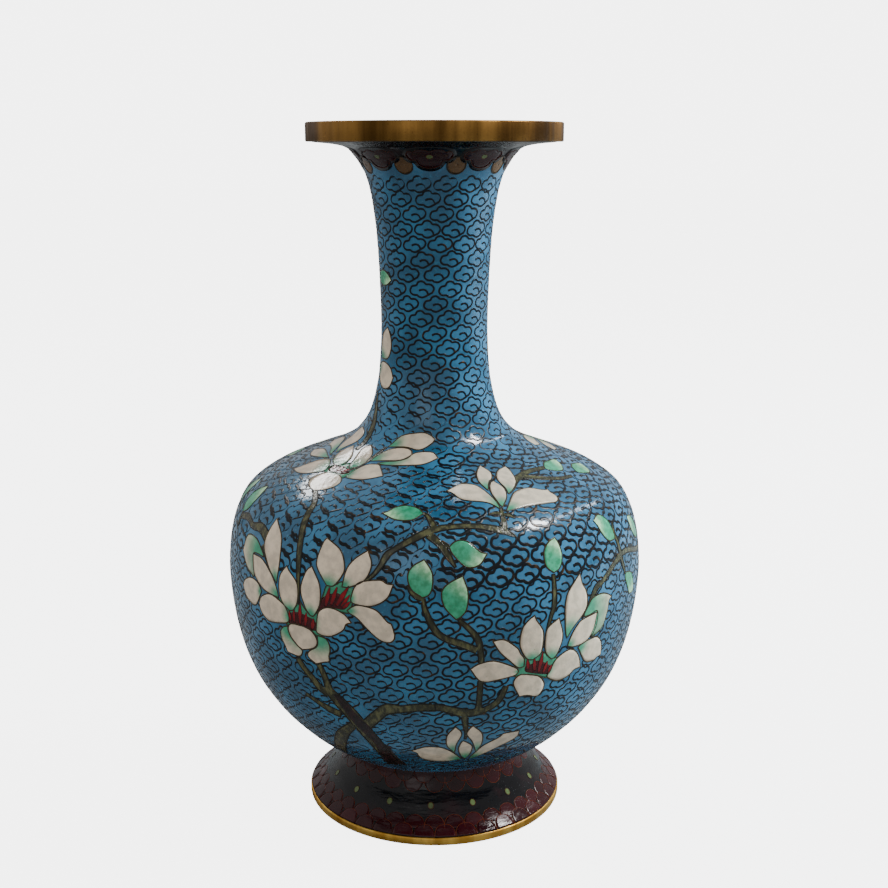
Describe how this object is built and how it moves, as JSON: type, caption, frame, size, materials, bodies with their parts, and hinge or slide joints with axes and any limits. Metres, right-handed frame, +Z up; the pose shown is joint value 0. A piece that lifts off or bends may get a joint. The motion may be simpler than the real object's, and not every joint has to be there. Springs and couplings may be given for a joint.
{
  "type": "cloisonne vase",
  "caption": "Round-bellied cloisonne vase with a slim flared neck, dish mouth, spreading foot, brass rims and magnolia inlays on a blue clouded ground.",
  "frame": {"origin": "centre of the foot, on the surface the vase stands on", "axes": "+Z up the vase's axis; -Y faces the side shown in the picture"},
  "size_m": [0.123, 0.123, 0.203],
  "materials": {
    "brass": "gilt brass, softly polished with an aged brown bloom",
    "copper": "raised sheet copper, hidden between the enamels",
    "silver_solder": "silver solder, hidden between the enamels",
    "blue_enamel": "polished sky-blue glass enamel with dark cloud wires",
    "dark_enamel": "glossy black glass enamel with dark red scale fills",
    "lining_enamel": "plain turquoise counter enamel, slightly matt",
    "petal_enamel": "polished cream enamel shading to green at the petal bases",
    "leaf_enamel": "polished green enamel shading to a pale tip",
    "bark_enamel": "polished olive-brown enamel"
  },
  "bodies": {
    "root": {"base_enamel": "lining_enamel", "belly_solder": "silver_solder", "bowl_shell": "copper", "collar_enamel": "dark_enamel", "far_left_blossom": "petal_enamel", "far_low_branch": "bark_enamel", "far_low_bud": "petal_enamel", "far_right_blossom": "petal_enamel", "far_top_blossom": "petal_enamel", "foot_enamel": "dark_enamel", "foot_rim": "brass", "foot_shell": "copper", "foot_solder": "silver_solder", "ground_enamel": "blue_enamel", "inner_enamel": "lining_enamel", "leaf_far_right": "leaf_enamel", "leaf_hanging": "leaf_enamel", "leaf_middle": "leaf_enamel", "leaf_right": "leaf_enamel", "leaf_shoulder": "leaf_enamel", "leaf_shoulder_end": "leaf_enamel", "leaf_upper_left": "leaf_enamel", "leaf_upright": "leaf_enamel", "left_blossom": "petal_enamel", "low_branch": "bark_enamel", "low_bud": "petal_enamel", "middle_blossom": "petal_enamel", "middle_branch": "bark_enamel", "mouth_dish": "copper", "mouth_rim": "brass", "mouth_solder": "silver_solder", "neck_shell": "copper", "neck_solder": "silver_solder", "right_blossom": "petal_enamel", "right_branch": "bark_enamel", "shoulder_blossom": "petal_enamel", "shoulder_bud": "petal_enamel", "shoulder_shell": "copper", "top_blossom": "petal_enamel"}
  },
  "joints": []
}
